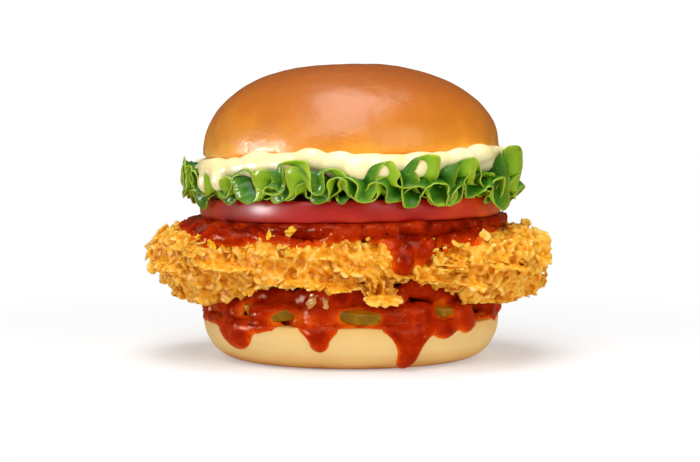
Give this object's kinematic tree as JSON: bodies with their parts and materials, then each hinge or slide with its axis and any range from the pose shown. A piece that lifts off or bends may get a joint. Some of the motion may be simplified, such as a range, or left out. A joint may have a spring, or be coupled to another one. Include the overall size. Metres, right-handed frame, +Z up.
{
  "type": "chicken burger",
  "caption": "Fried chicken burger: bun heel, sauce, gherkin slices, crusted fillet, sauce, tomato, ruffled lettuce, mayonnaise and a glazed domed crown.",
  "frame": {"origin": "middle of the flat base of the bun's heel", "axes": "+Z up, +X along the fillet's length, -Y towards the front of the burger"},
  "size_m": [0.1327, 0.1174, 0.097],
  "materials": {
    "bread_pale": "soft matt bread, browned at the foot",
    "bread_glazed": "baked brown crust with a satin glaze",
    "sauce": "glossy wet chilli sauce with dark flecks",
    "gherkin": "wet pickled cucumber",
    "crust": "crisp flaky fried breading",
    "tomato": "shiny tomato skin round a wet cut face",
    "lettuce": "crisp leaf with a waxy sheen",
    "mayonnaise": "smooth thick mayonnaise with a soft shine"
  },
  "bodies": {
    "root": {"bun_heel": "bread_pale", "sauce_lower": "sauce", "gherkin_1": "gherkin", "gherkin_2": "gherkin", "gherkin_3": "gherkin", "gherkin_4": "gherkin", "gherkin_5": "gherkin", "gherkin_6": "gherkin", "gherkin_7": "gherkin", "chicken_fillet": "crust", "sauce_upper": "sauce", "tomato_slice": "tomato", "lettuce_leaf": "lettuce", "mayonnaise": "mayonnaise", "bun_crown": "bread_glazed"}
  },
  "joints": []
}
